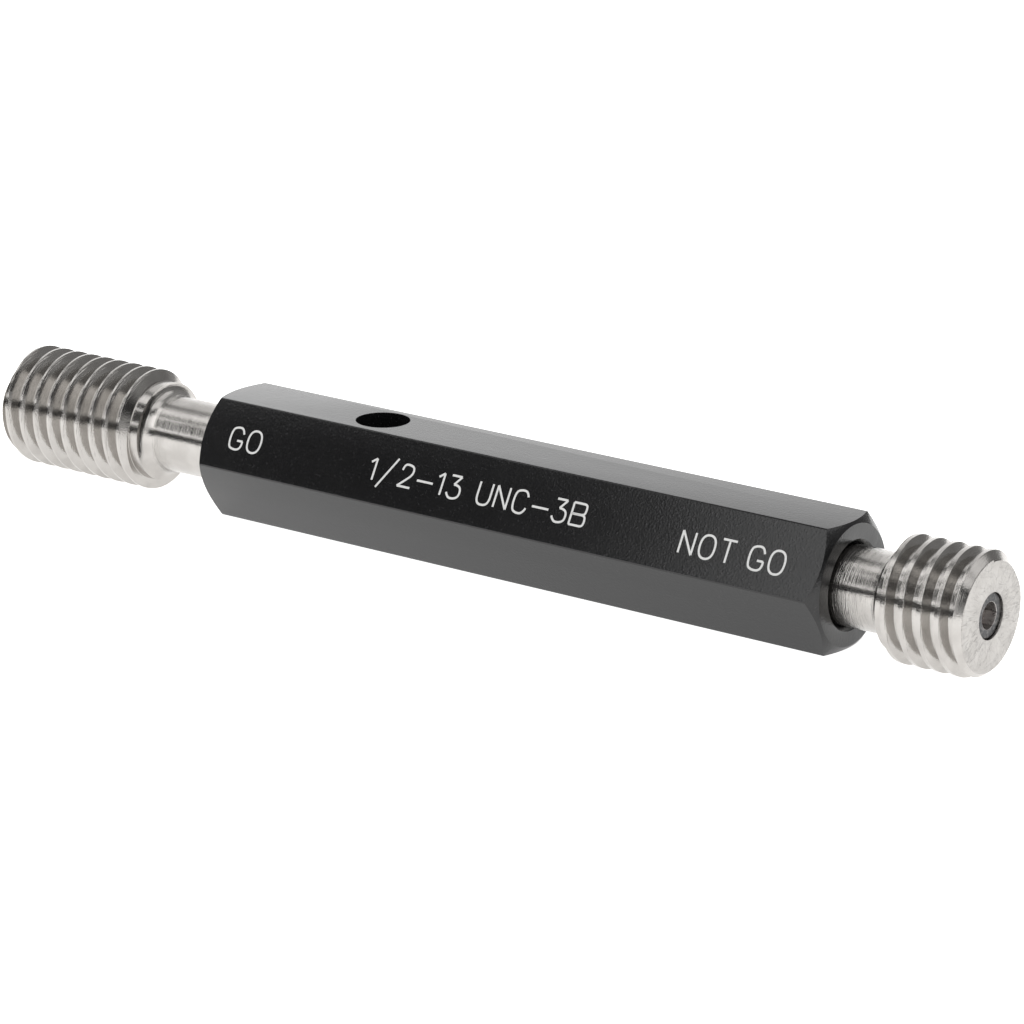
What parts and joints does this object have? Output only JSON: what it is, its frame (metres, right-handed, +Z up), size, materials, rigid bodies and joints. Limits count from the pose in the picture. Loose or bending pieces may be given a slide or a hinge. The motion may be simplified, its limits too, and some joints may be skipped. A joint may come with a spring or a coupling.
{
  "type": "thread plug gauge",
  "caption": "Double-ended thread plug gauge: black hexagonal handle with a long GO thread at one end and a shorter NOT GO thread at the other.",
  "frame": {"origin": "middle of the gauge's length, under its axis, on the surface it lies on", "axes": "+X along the gauge axis from the GO end to the NOT GO end, +Z up, square to the handle's upper flat with the drift hole, -Y the side whose upper flat carries the marks"},
  "size_m": [0.119, 0.0146, 0.0127],
  "materials": {
    "black_anodised": "black anodised over a bead-blasted surface",
    "ground_steel": "hardened and ground tool steel, bright",
    "black_oxide": "black oxide",
    "white_paint": "white paint in the marks on the handle"
  },
  "bodies": {
    "root": {"handle": "black_anodised", "go_member": "ground_steel", "not_go_member": "ground_steel", "lock_screw": "black_oxide"}
  },
  "joints": []
}
